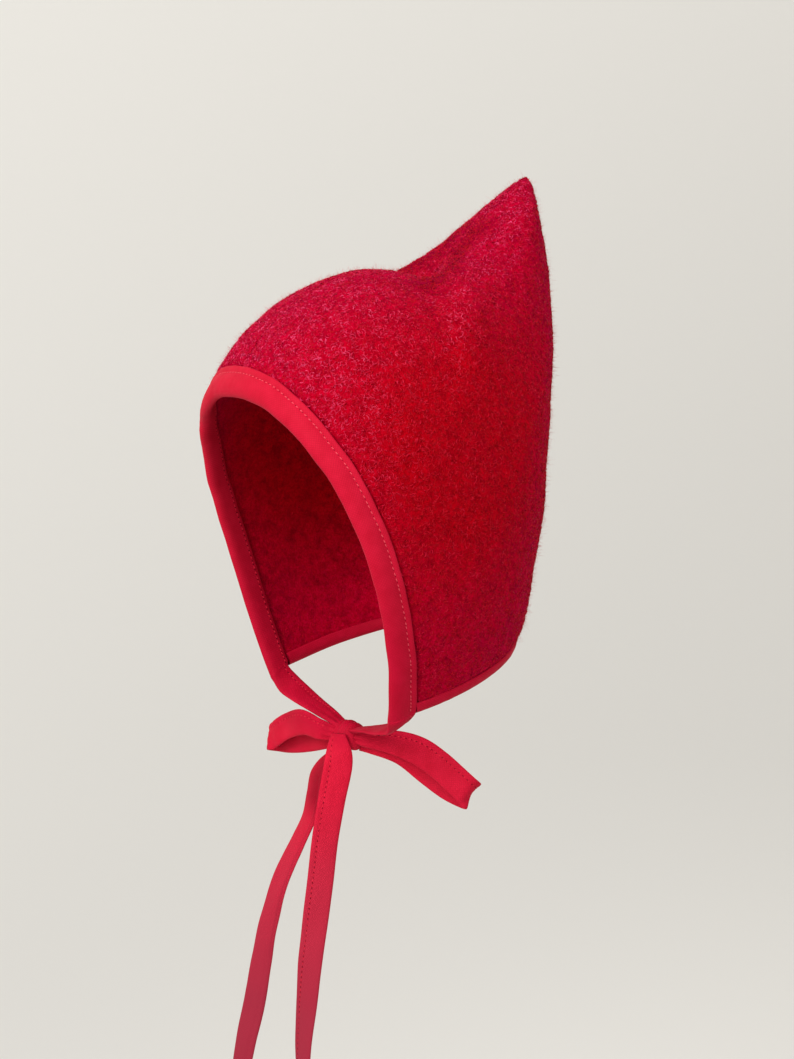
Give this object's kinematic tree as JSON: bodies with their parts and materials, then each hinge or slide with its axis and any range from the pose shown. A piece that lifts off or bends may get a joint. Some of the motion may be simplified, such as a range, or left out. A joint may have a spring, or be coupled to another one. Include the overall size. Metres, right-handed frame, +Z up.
{
  "type": "pixie bonnet",
  "caption": "Child's felted wool bonnet rising to a pointed peak, with tape-bound face and neck edges and tape ties in a bow under the chin.",
  "frame": {"origin": "inner top of the crown, where the bonnet sits on the head", "axes": "+Z up; the wearer looks along -Y, and the wearer's left is +X"},
  "size_m": [0.1494, 0.1547, 0.4368],
  "materials": {
    "felted_wool": "boiled red wool, matt and slightly hairy",
    "cotton_tape": "smooth red cotton bias tape, edge-stitched"
  },
  "bodies": {
    "root": {"crown_left": "felted_wool", "crown_right": "felted_wool", "face_binding": "cotton_tape", "neck_binding": "cotton_tape", "tie_left": "cotton_tape", "tie_right": "cotton_tape", "bow_knot": "cotton_tape", "bow_loop_left": "cotton_tape", "bow_loop_right": "cotton_tape", "tie_tail_left": "cotton_tape", "tie_tail_right": "cotton_tape"}
  },
  "joints": []
}
